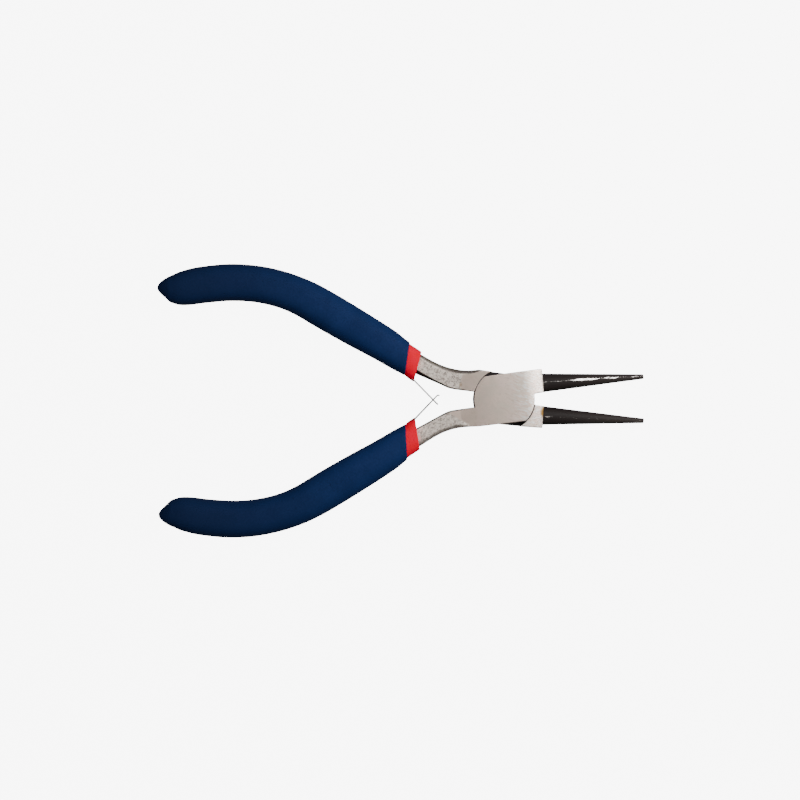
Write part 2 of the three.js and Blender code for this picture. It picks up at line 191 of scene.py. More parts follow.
class Graph:
    def __init__(self, tree):
        self.tree = tree

    def add(self, kind, settings=None, sockets=None):
        node = self.tree.nodes.new(kind)
        for name, value in (settings or {}).items():
            if name == "stops":
                self.setStops(node.color_ramp, value)
            elif name == "curve":
                self.setCurve(node.mapping, value)
            else:
                setattr(node, name, value)
        for name, value in (sockets or {}).items():
            if isinstance(value, Term):
                self.tree.links.new(value.socket, node.inputs[name])
            else:
                node.inputs[name].default_value = value
        if not node.outputs:
            return node
        shown = [s for s in node.outputs if s.enabled]
        return Term(self, shown[0])

    def setStops(self, ramp, stops):
        while len(ramp.elements) < len(stops):
            ramp.elements.new(0.5)
        for element, (place, colour) in zip(ramp.elements, stops):
            element.position = place
            element.color = (*colour, 1) if len(colour) == 3 else colour

    def setCurve(self, mapping, points):
        line = mapping.curves[0]
        while len(line.points) < len(points):
            line.points.new(0.5, 0.5)
        for point, place in zip(line.points, points):
            point.location = place
            point.handle_type = "AUTO"
        mapping.update()

    def maths(self, operation, *values):
        return self.add("ShaderNodeMath", {"operation": operation}, dict(enumerate(values)))

    def span(self, value, low, high, toLow=0.0, toHigh=1.0, kind="SMOOTHSTEP"):  # low to high is 0 to 1
        sockets = {"Value": value, "From Min": low, "From Max": high, "To Min": toLow, "To Max": toHigh}
        return self.add("ShaderNodeMapRange", {"interpolation_type": kind}, sockets)

    def mixColour(self, factor, a, b, blend="MIX"):
        node = self.tree.nodes.new("ShaderNodeMix")
        node.data_type = "RGBA"
        node.blend_type = blend
        for socket, value in ((node.inputs[0], factor), (node.inputs[6], a), (node.inputs[7], b)):
            if isinstance(value, Term):
                self.tree.links.new(value.socket, socket)
            else:
                socket.default_value = (*value, 1) if isinstance(value, tuple) else value
        return Term(self, node.outputs[2])


def newMaterial(name):
    material = bpy.data.materials.new(name)
    material.use_nodes = True
    material.node_tree.nodes.clear()
    return material, Graph(material.node_tree)


def closedFrame(graph, side):  # the pattern's place in millimetres in the closed half's frame
    place = graph.add("ShaderNodeTexCoord").out("Object")
    turn = math.radians(tool["openDegrees"])
    middle = Vector((0, 0, -tool["middle"]))
    centred = graph.add("ShaderNodeMapping", {}, {"Vector": place, "Location": middle})
    settings = {"Rotation": (0 if side == "front" else math.pi, 0, -turn), "Scale": (1000, 1000, 1000)}
    return graph.add("ShaderNodeMapping", {}, {"Vector": centred, **settings})


def noise(graph, place, scale, detail=2.0, roughness=0.5, stretch=None, distortion=0.0):
    if stretch:
        place = graph.add("ShaderNodeMapping", {}, {"Vector": place, "Scale": stretch})
    sockets = {"Vector": place, "Scale": scale, "Detail": detail}
    sockets.update({"Roughness": roughness, "Distortion": distortion})
    return graph.add("ShaderNodeTexNoise", {}, sockets)


def finishSurface(graph, sockets):
    shader = graph.add("ShaderNodeBsdfPrincipled", {}, sockets)
    graph.add("ShaderNodeOutputMaterial", {}, {"Surface": shader})


steelLook = {
    "groundLight": (0.92, 0.75, 0.64),
    "groundDark": (0.78, 0.63, 0.53),
    # a dark tone for real smudges and streaks, also used as painted shade on the ground face towards the
    # neck
    "smudgeAndShade": (0.60, 0.47, 0.39),
    "greenCast": (0.76, 0.67, 0.56),
    "pinkCast": (0.96, 0.76, 0.68),
    "pit": (0.42, 0.33, 0.28),
    "tumbledLight": (1.0, 0.90, 0.80),
    "tumbledDark": (0.46, 0.385, 0.33),
    "bare": (1.0, 0.97, 0.93),
    # painted shade for the neck's rounded and side faces
    "shadedFlank": (0.15, 0.125, 0.105),
    "stain": (0.30, 0.17, 0.05),
    "oxide": (0.020, 0.0155, 0.015),
    "oxideWorn": (0.055, 0.044, 0.041),
}


groundEdge = {"front": (16.3, 1.2), "rear": (11.7, 0.1)}  # how far back the ground face runs, and its lean


def forgedSteel(side):  # ground joint faces, tumbled neck, black oxide on what the grinding left
    material, graph = newMaterial("forgedSteel" + side.capitalize())
    place = closedFrame(graph, side)
    parts = graph.add("ShaderNodeSeparateXYZ", {}, {"Vector": place})
    x, y, z = parts.out("X"), parts.out("Y"), parts.out("Z")
    oxide = graph.add("ShaderNodeAttribute", {"attribute_name": "oxide"}).out("Fac")
    flat = graph.add("ShaderNodeAttribute", {"attribute_name": "flat"}).out("Fac")

    soft = noise(graph, place, 0.35, 2.0)
    speck = noise(graph, place, 3.2, 4.0, 0.62)
    fine = noise(graph, place, 9.0, 3.0, 0.6)
    brushed = noise(graph, place, 2.0, 4.0, 0.7, stretch=(1.0, 7.0, 7.0))

    reach, lean = groundEdge[side]
    edge = x + y * lean + reach + (soft - 0.5) * 1.4  # the ground face ends along an uneven line on the neck
    ground = graph.span(edge, -0.35, 0.35) * flat
    grain = graph.span(brushed, 0.3, 0.7)
    groundTone = graph.mixColour(grain, steelLook["groundDark"], steelLook["groundLight"])
    smudgeAndShade = graph.span(noise(graph, place, 0.55, 3.0, 0.6, distortion=0.6), 0.52, 0.7)
    groundTone = graph.mixColour(smudgeAndShade * 0.35, groundTone, steelLook["smudgeAndShade"])
    cast = noise(graph, place, 0.22, 2.0, distortion=0.4)
    groundTone = graph.mixColour(graph.span(cast, 0.52, 0.35) * 0.5, groundTone, steelLook["greenCast"])
    groundTone = graph.mixColour(graph.span(cast, 0.52, 0.66) * 0.4, groundTone, steelLook["pinkCast"])
    turned = graph.add("ShaderNodeMapping", {}, {"Vector": place, "Rotation": (0, 0, 0.5)})
    strokes = noise(graph, turned, 1.5, 4.0, 0.7, stretch=(0.45, 2.2, 2.2))
    # painted shade: the ground face is darkened towards the neck, standing in for how the light falls across
    # it
    groundTone = graph.mixColour(graph.span(x, 0.0, -11.0) * 0.5, groundTone, steelLook["smudgeAndShade"])
    worn = graph.span(strokes, 0.50, 0.57) * graph.span(x, 0.0, 6.5)
    groundTone = graph.mixColour(worn * 0.9, groundTone, steelLook["bare"])
    dark = graph.span(strokes, 0.44, 0.37) * graph.span(graph.maths("ABSOLUTE", x - 2.0), 3.4, 1.0)
    groundTone = graph.mixColour(dark * 0.6, groundTone, steelLook["smudgeAndShade"])
    pitted = graph.span(speck, 0.50, 0.42) * graph.span(x, 6.0, 8.2)
    groundTone = graph.mixColour(pitted * 0.6, groundTone, steelLook["pit"])
    mottle = graph.span(speck * 0.55 + noise(graph, place, 1.1, 3.0, 0.6) * 0.45, 0.40, 0.57)
    tumbledTone = graph.mixColour(mottle, steelLook["tumbledDark"], steelLook["tumbledLight"])
    tone = graph.mixColour(ground, tumbledTone, groundTone)
    # painted shade: the neck's rounded and side faces are darkened where they turn away from the light
    shadedFlank = (1 - flat) * graph.span(x, 4.0, -6.0) * graph.span(z, -1.0, 1.0, 1.0, 0.45)
    shadedFlank = shadedFlank * graph.span(speck, 0.3, 0.7, 0.95, 0.7)
    tone = graph.mixColour(shadedFlank, tone, steelLook["shadedFlank"])
    edgeWear = graph.span(fine, 0.62, 0.72)
    rubbed = graph.span(speck, 0.6, 0.75)
    oxideTone = graph.mixColour(rubbed * 0.5, steelLook["oxide"], steelLook["oxideWorn"])
    oxideTone = graph.mixColour(edgeWear * 0.25, oxideTone, steelLook["oxideWorn"])
    oxideTone = graph.mixColour(graph.span(x, 12.0, 34.0) * 0.5, oxideTone, steelLook["oxideWorn"])
    scuffed = jawScuffs(graph, side, place, x, y, z)
    oxide = oxide * (1 - scuffed)
    tone = graph.mixColour(scuffed, tone, steelLook["bare"])
    tone = graph.mixColour(stain(graph, side, place, x, y), tone, steelLook["stain"])
    tone = graph.mixColour(oxide, tone, oxideTone)

    rough = graph.span(brushed, 0.3, 0.7, 0.30, 0.40) * ground
    rough = rough + (1 - ground) * graph.span(speck, 0.3, 0.7, 0.62, 0.48)
    rough = rough * (1 - oxide) + oxide * graph.span(fine, 0.3, 0.7, 0.50, 0.60) - scuffed * 0.05
    height = speck * (1 - ground) * (1 - oxide) * 0.9 + brushed * ground * 0.06 + fine * 0.08
    bump = graph.add("ShaderNodeBump", {}, {"Height": height, "Strength": 0.6, "Distance": 0.00006})
    finishSurface(
        graph,
        {
            "Base Color": tone,
            "Metallic": 1 - oxide,
            "Roughness": rough,
            "Specular IOR Level": 0.12,
            "Normal": bump,
        },
    )
    return material


# Bright scuffs along the top of a jaw: where each starts and ends, its half width, and how strong it is.
scuffs = {
    "front": [(16.9, 25.6, 0.36, 1.0), (25.4, 30.2, 0.28, 0.9), (32.6, 36.4, 0.5, 0.2)],
    "rear": [(10.6, 13.4, 0.35, 0.3), (32.6, 36.4, 0.6, 0.25)],
}


def jawScuffs(graph, side, place, x, y, z):
    slope = (cone["baseRadius"] - cone["tipRadius"]) / cone["length"]
    axis = cone["inner"] + cone["baseRadius"] - (x - jawBase["end"]) * slope
    wander = (noise(graph, place, 0.8, 3.0) - 0.5) * 0.5
    across = graph.maths("ABSOLUTE", y - axis - 0.2 + wander)
    streaks = noise(graph, place, 2.2, 4.0, 0.7, stretch=(0.22, 1.6, 1.6))
    total = None
    for start, end, half, strength in scuffs[side]:
        middle, length = (start + end) / 2, (end - start) / 2
        along = graph.span(graph.maths("ABSOLUTE", x - middle), length, length * 0.2)
        width = graph.span(across, along * half + 0.02, along * half * 0.3)
        broken = graph.span(streaks, 0.60 - 0.25 * strength, 0.68 - 0.2 * strength)
        one = width * broken * min(1.0, strength + 0.25)
        total = one if total is None else graph.maths("MAXIMUM", total, one)
    shown = graph.maths("GREATER_THAN" if side == "front" else "LESS_THAN", z, 0.0)
    return total * shown


# Rust-coloured stains: place, radius and strength.
stains = {
    "front": [((-14.3, -4.6), 0.5, 0.4)],
    "rear": [((10.2, 1.95), 2.1, 1.0), ((-11.6, -2.4), 0.9, 0.5)],
}


def stain(graph, side, place, x, y):
    edge = (noise(graph, place, 1.3, 3.0) - 0.5) * 1.3
    total = None
    for (cx, cy), radius, strength in stains[side]:
        stretch = 2.2 if cx > 0 else 1.6  # they run along the edges across the tool
        away = graph.maths("SQRT", ((x - cx) * stretch) ** 2 + (y - cy) ** 2) + edge
        one = graph.span(away, radius, radius * 0.3) * strength
        total = one if total is None else graph.maths("MAXIMUM", total, one)
    return total


def plainSteel(name, colour, roughness, middleShadeColour=None):
    material, graph = newMaterial(name)
    place = closedFrame(graph, "front")
    grain = noise(graph, place, 2.0, 4.0, 0.7, stretch=(1.0, 7.0, 7.0))
    darker = tuple(c * 0.86 for c in colour)
    tone = graph.mixColour(graph.span(grain, 0.3, 0.7), darker, colour)
    # painted shade: with this colour given, the steel darkens towards the middle line between the handles,
    # where the grips shade it
    if middleShadeColour:
        away = graph.maths("ABSOLUTE", graph.add("ShaderNodeSeparateXYZ", {}, {"Vector": place}).out("Y"))
        tone = graph.mixColour(graph.span(away, 4.5, 1.5), tone, middleShadeColour)
    rough = graph.span(grain, 0.3, 0.7, roughness - 0.05, roughness + 0.05)
    bump = graph.add("ShaderNodeBump", {}, {"Height": grain, "Strength": 0.2, "Distance": 0.00002})
    finishSurface(graph, {"Base Color": tone, "Metallic": 1.0, "Roughness": rough, "Normal": bump})
    return material


def redVinyl():
    material, graph = newMaterial("redVinyl")
    place = closedFrame(graph, "front")
    soft = noise(graph, place, 0.5, 2.0)
    fine = noise(graph, place, 4.0, 3.0)
    tone = graph.mixColour(graph.span(soft, 0.3, 0.7), (0.96, 0.0, 0.022), (1.0, 0.0, 0.036))
    rough = graph.span(fine, 0.3, 0.7, 0.50, 0.60)
    height = fine + soft * 2
    bump = graph.add("ShaderNodeBump", {}, {"Height": height, "Strength": 0.35, "Distance": 0.00005})
    sockets = {"Base Color": tone, "Roughness": rough, "Normal": bump}
    finishSurface(graph, {**sockets, "Specular IOR Level": 0.03})
    return material


def blueVinyl(side):
    material, graph = newMaterial("blueVinyl" + side.capitalize())
    place = closedFrame(graph, side)
    x = graph.add("ShaderNodeSeparateXYZ", {}, {"Vector": place}).out("X")
    soft = noise(graph, place, 0.16, 3.0, 0.55)
    grain = noise(graph, place, 2.4, 4.0, 0.65)
    cells = graph.add("ShaderNodeTexVoronoi", {}, {"Vector": place, "Scale": 0.42}).out("Distance")
    pits = graph.span(cells, 0.0, 0.13, 1.0, 0.0)
    tone = graph.mixColour(graph.span(soft, 0.3, 0.7), (0.0056, 0.0205, 0.090), (0.0082, 0.0265, 0.110))
    tone = graph.mixColour(graph.span(grain, 0.35, 0.7) * 0.35, tone, (0.004, 0.018, 0.066))
    # painted shade: the grips darken towards their far ends, where the lamps' light falls off
    tone = graph.mixColour(graph.span(x, -90.0, -34.0, 0.7, 0.0), tone, (0.004, 0.013, 0.048))
    tone = graph.mixColour(pits * 0.5, tone, (0.002, 0.010, 0.036))
    rough = graph.span(grain, 0.3, 0.7, 0.62, 0.78)
    height = grain * 0.6 + soft * 1.5 - pits * 0.8
    bump = graph.add("ShaderNodeBump", {}, {"Height": height, "Strength": 0.5, "Distance": 0.00009})
    sockets = {"Base Color": tone, "Roughness": rough, "Normal": bump}
    finishSurface(graph, {**sockets, "Specular IOR Level": 0.12})
    return material


edges = {
    "front": {"top": 6.5, "bottom": 5.95, "bottomRight": 6.15, "baseOuter": 6.47},
    "rear": {"top": 6.45, "bottom": 6.7, "bottomRight": 6.55, "baseOuter": 6.05},
}
edges["front"].update({"neckOuter": 5.7, "collarInner": 4.4})
edges["rear"].update({"neckOuter": 6.1, "collarInner": 3.8})
fieldStep = 0.15


# Rows of distance along the handle, half width away from the other handle, half width towards it.
def tangWidths(side):
    slope = math.radians(handle["slope"])
    across = (neck["collarX"] - handle["x"], -edges[side]["collarInner"] - handle["y"])
    collar = -across[0] * math.sin(slope) + across[1] * math.cos(slope)
    return [(0, 2.72, collar), (8, 2.6, 1.5), (14.5, 2.4, 1.6), (18, 2.4, 2.0), (66, 2.1, 1.7)]


def tangWidth(side, s, column):
    rows = tangWidths(side)
    return float(np.interp(s, [r[0] for r in rows], [r[column] for r in rows]))


def planOutline(side):
    edge = edges[side]
    radius = joint["discRadius"]
    topCorner = math.pi - math.asin(edge["top"] / radius)
    neckAngle = math.pi + math.asin(neck["inner"] / radius)
    bottomCorner = 2 * math.pi - math.asin(edge["bottomRight"] / radius)
    mouth = 2 * math.pi + math.asin(0.2 / radius)
    end, lean = jawBase["end"], jawBase["lean"]
    topStart = (radius * math.cos(topCorner), edge["top"])
    line = [(end - lean, jawBase["inner"] + 0.05)]
    line += bezier((end + lean, edge["baseOuter"]), (3, edge["top"] + 0.1), topStart, steps=12)
    line += arc(radius, topCorner, neckAngle)[1:]
    line += bezier((-12.4, -neck["inner"]), (-14.2, -1.04), (-14.8, -1.25), (-16.2, -1.75), steps=8)
    line.append((neck["collarX"], -edge["collarInner"]))
    for s in (3, 6, tang["cutAt"]):
        line.append(handlePoint(s, tangWidth(side, s, 2)))
    for s in (tang["cutAt"], 6):
        line.append(handlePoint(s, -tangWidth(side, s, 1)))
    start = handlePoint(3, -tangWidth(side, 3, 1))
    outer = -edge["neckOuter"]
    line += bezier(start, (-20.2, -7.95), (-17, outer), (-11.7, outer), steps=20)
    line += bezier((-11.7, outer), (-10, outer), (-7.4, -edge["bottom"] - 0.05), steps=8)[1:]
    line.append((radius * math.cos(bottomCorner), -edge["bottomRight"]))
    line += arc(radius, bottomCorner, mouth)[1:]
    line.append((8.15, jawBase["inner"]))
    return np.array(line)


def outlineDistance(outline, x, y):  # signed distance in plan, negative inside
    best = np.full(x.shape, 1e9)
    inside = np.zeros(x.shape, bool)
    for (ax, ay), (bx, by) in zip(outline, np.roll(outline, -1, 0)):
        dx, dy = bx - ax, by - ay
        t = np.clip(((x - ax) * dx + (y - ay) * dy) / max(dx * dx + dy * dy, 1e-12), 0, 1)
        best = np.minimum(best, (x - ax - t * dx) ** 2 + (y - ay - t * dy) ** 2)
        crosses = (ay > y) != (by > y)
        with np.errstate(divide="ignore", invalid="ignore"):
            inside ^= crosses & (x < (bx - ax) * (y - ay) / (by - ay) + ax)
    return np.where(inside, -1, 1) * np.sqrt(best)


def halfThickness(x):  # flat over the joint, falling to the tang and to the jaw base's end
    flat = joint["halfThickness"]
    xs = np.linspace(-31, 11.5, 200)
    toJaw = np.clip((xs - jawBase["flatTo"]) / (jawBase["end"] - jawBase["flatTo"]), 0, 1.3)
    toTang = np.clip((neck["flatFrom"] - xs) / (neck["flatFrom"] - neck["collarX"]), 0, 1)
    drop = (flat - jawBase["endHalfThickness"]) * toJaw**2
    drop += (flat - 2.6) * toTang * (1.6 - 0.6 * toTang)
    drop += np.clip(neck["collarX"] - xs, 0, 30) * 0.02
    drop += np.clip(xs, neck["flatFrom"], 10.4) ** 2 / (2 * crown["radius"])
    return np.interp(x, xs, flat - drop)


def roundMax(a, b, radius):  # intersection with a rounded edge
    u, v = np.maximum(a + radius, 0), np.maximum(b + radius, 0)
    return np.minimum(-radius, np.maximum(a, b)) + np.sqrt(u * u + v * v)


def smoothStep(value, low, high):
    t = np.clip((value - low) / (high - low), 0, 1)
    return t * t * (3 - 2 * t)


rounding = {"crisp": 0.12, "outer": 1.15, "inner": 0.22, "backReach": 5.0, "lapReach": 8.5, "fade": 5.0}


def edgeRadius(x, y, z):  # the outer side of the neck is well rounded, the ground joint is crisp
    middle = np.interp(x, [-24, -16, -8], [-6.8, -4.2, -3.4])
    reach = np.where(z < 0, rounding["backReach"], rounding["lapReach"])  # the disc stops it on the lap side
    outer = smoothStep(middle - y, -0.6, 0.6) * smoothStep(-x, reach, reach + rounding["fade"])
    inner = smoothStep(y - middle, -0.6, 0.6) * smoothStep(-x, 9, 12)
    return rounding["crisp"] + rounding["outer"] * outer + rounding["inner"] * inner


def coneField(x, y, z):
    slope = (cone["baseRadius"] - cone["tipRadius"]) / cone["length"]
    tilt = math.atan(slope)
    along = x - jawBase["end"]
    radius = cone["baseRadius"] - slope * along
    axisY = cone["inner"] + radius / math.cos(tilt)
    side = (np.hypot(y - axisY, z) - radius) * math.cos(tilt)
    ends = np.abs(along - cone["length"] / 2 + 0.5) - cone["length"] / 2 - 0.5
    return roundMax(side, ends, cone["nose"])


def bodyField(plan, x, y, z):  # signed distance to one forging but its jaw, from its distance in plan
    body = roundMax(plan, np.abs(z) - halfThickness(x), edgeRadius(x, y, z))
    rho = np.hypot(x, y)
    shoulder = np.where(x < 0, joint["neckShoulder"], joint["jawShoulder"])
    recess = np.maximum(rho - shoulder, z - joint["lap"])
    body = roundMax(body, -recess, joint["lapEdge"])
    slope = math.radians(neck["bevelSlope"])
    lean = math.atan2(neck["bevel"], neck["bevelDepth"])
    footX, footY, footZ = neck["bevelFoot"]
    across = -(x - footX) * math.sin(slope) + (y - footY) * math.cos(slope)
    bevel = across * math.cos(lean) - (z - footZ) * math.sin(lean)
    bevel = np.where(x > neck["bevelUntil"], -1.0, bevel)  # it has run out well before the joint
    body = roundMax(body, bevel, neck["bevelEdge"])
    hole = rho - pivot["shank"] - 0.02 - np.clip(np.abs(z) - 3.0, 0, 1.2)
    return roundMax(body, -hole, 0.03)


def forgingField(plan, x, y, z):
    return np.minimum(bodyField(plan, x, y, z), coneField(x, y, z))


def surfaceOf(values, low, step):  # the surface where a grid of distances is zero, as quads
    inside = values < 0
    shape = np.array(values.shape) - 1
    total = np.zeros((*shape, 3), np.float32)
    count = np.zeros(shape, np.float32)
    corners = [np.array(c) for c in np.ndindex(2, 2, 2)]

    def at(array, corner):
        a, b, c = corner
        return array[a : a + shape[0], b : b + shape[1], c : c + shape[2]]

    for first in corners:
        for axis in range(3):
            if first[axis]:
                continue
            second = first.copy()
            second[axis] = 1
            a, b = at(values, first), at(values, second)
            cut = at(inside, first) != at(inside, second)
            t = np.where(cut, a / np.where(cut, a - b, 1), 0)
            count += cut
            for k in range(3):
                total[..., k] += cut * (first[k] + (t if k == axis else 0))
    used = count > 0
    index = np.full(shape, -1)
    index[used] = np.arange(used.sum())
    cells = np.argwhere(used)
    points = low + step * (cells + total[used] / count[used][:, None])
    quads = []
    for axis in range(3):
        u, v = (axis + 1) % 3, (axis + 2) % 3
        start, end = [slice(None)] * 3, [slice(None)] * 3
        start[axis], end[axis] = slice(None, -1), slice(1, None)
        changed = np.argwhere(inside[tuple(start)] != inside[tuple(end)])
        changed = changed[(changed[:, u] > 0) & (changed[:, v] > 0)]
        changed = changed[(changed[:, u] < shape[u]) & (changed[:, v] < shape[v])]
        ring = []
        for du, dv in ((0, 0), (-1, 0), (-1, -1), (0, -1)):
            cell = changed.copy()
            cell[:, u] += du
            cell[:, v] += dv
            ring.append(index[tuple(cell.T)])
        ring = np.stack(ring, 1)
        facing = inside[tuple(changed.T)]
        ring[~facing] = ring[~facing][:, ::-1]
        quads.append(ring)
    return points, np.concatenate(quads)


def forging(side):
    step = fieldStep
    outline = planOutline(side)
    low = np.array([-31.0, -12.2, -joint["halfThickness"] - 4 * step])
    high = np.array([37.2, 7.6, joint["halfThickness"] + 4 * step])
    xs, ys, zs = [np.arange(a, b, step) for a, b in zip(low, high)]
    planGrid = outlineDistance(outline, *np.meshgrid(xs, ys, indexing="ij"))
    x, y, z = np.meshgrid(xs, ys, zs, indexing="ij", sparse=True)
    points, quads = surfaceOf(forgingField(planGrid[:, :, None], x, y, z), low, step)

    def field(p):
        return forgingField(outlineDistance(outline, p[:, 0], p[:, 1]), *p.T)

    def gradient(p):
        nudges = np.eye(3) * 0.01
        return np.stack([field(p + n) - field(p - n) for n in nudges], 1) / 0.02

    for _ in range(3):  # each point is drawn onto the true surface
        slopes = gradient(points)
        size = np.maximum((slopes**2).sum(1, keepdims=True), 0.2)
        shift = field(points)[:, None] * slopes / size
        points = points - np.clip(shift, -step, step)
    normals = gradient(points)
    normals /= np.maximum(np.linalg.norm(normals, axis=1, keepdims=True), 1e-6)
    made = meshObject(side + "Forging", inPlace(points, side), quads)
    cone = bodyField(outlineDistance(outline, points[:, 0], points[:, 1]), *points.T) > 0.03
    for name, mask in (("oxide", oxideMask(points, normals, cone)), ("flat", flatMask(normals))):
        layer = made.data.attributes.new(name, "FLOAT", "POINT")
        layer.data.foreach_set("value", mask.astype(np.float32))
    return made


def oxideMask(p, n, cone):  # what the grinding never reached stays black
    x, y, z = p.T
    rho = np.hypot(x, y)
    jaw = cone & (x > jawBase["end"] - 0.3)
    lapFace = (rho < joint["jawShoulder"] + 0.1) & (np.abs(z) < 0.25)
    shoulder = (np.abs(rho - joint["jawShoulder"]) < 0.15) & (z < 0.1) & (np.abs(n[:, 2]) < 0.75)
    rim = (np.abs(rho - joint["discRadius"]) < 0.12) & (np.abs(n[:, 2]) < 0.6) & (z > -0.1)
    inner = smoothStep(n[:, 1], 0.35, 0.5) * (x < -7.5)
    mouth = (n[:, 1] < -0.6) & (x > 7) & (x < 10.4) & (y < 1)
    return np.maximum.reduce([jaw, lapFace, shoulder, rim, inner, mouth])


def flatMask(n):
    return smoothStep(np.abs(n[:, 2]), 0.93, 0.985)


for side in ("front", "rear"):
    made = forging(side)
    made.data.materials.append(forgedSteel(side))
    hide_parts(side + "_half")
    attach(made, side)
    print("forging", side, len(made.data.polygons), "quads")


# Each grip is dipped twice. Rows: distance along the handle, half width away from the other handle, half
# width towards it, half thickness. Ends: where the front face crosses the handle's line, and its lean. Past
# closeFrom the section closes to a rounded end at closeTo.
dips = {
    "blue": {
        "slot": "blue_dip",
        "node": "_grip_outer",
        "ends": {"front": (-26.1, -4.5), "rear": (-25.9, 1.5)},
        "rim": 0.35,
        "closeFrom": 70.0,
        "closeTo": 73.6,
        "wave": 0.10,
        "rows": [
            (-4, 3.5, 4.1, 3.85),
            (3, 3.75, 4.12, 4),
            (6.5, 3.95, 4.3, 4.1),
            (10.9, 4.55, 4.35, 4.25),
            (20, 4.9, 4.72, 4.4),
            (30, 5, 4.87, 4.4),
            (40, 4.72, 4.68, 4.4),
            (48, 4.62, 4.8, 4.4),
            (56, 4.56, 4.92, 4.4),
            (62, 4.43, 4.92, 4.3),
            (66, 3.96, 5.03, 4.05),
            (70, 2.83, 4.2, 3.3),
            (72, 2.32, 2.89, 2.77),
            (73.6, 2.1, 1.9, 2.6),
        ],
    },
    "red": {
        "slot": "red_dip",
        "node": "_grip_inner",
        "ends": {"front": (-23.15, 0.5), "rear": (-22.95, 7.5)},
        "rim": 0.25,
        "closeFrom": 68.0,
        "closeTo": 71.5,
        "wave": 0.04,
        "rows": [
            (-4, 3.15, 4.3, 3.4),
            (1.5, 3.3, 4.3, 3.5),
            (3, 3.42, 4, 3.58),
            (6.5, 3.6, 3.8, 3.65),
            (10.9, 4.05, 3.85, 3.75),
            (30, 4.5, 4.37, 3.9),
            (66, 3.4, 4.4, 3.5),
            (71.5, 2.2, 2.6, 2.4),
        ],
    },
}
dipMesh = {"rings": 320, "sides": 72, "rimRings": 9, "corner": 2.6, "widest": 6.0}


def widthCurve(rows, column):  # a row's sizes as points of a curve over 0 to 1
    first, last = rows[0][0], rows[-1][0]
    return [((r[0] - first) / (last - first), r[column] / dipMesh["widest"]) for r in rows]


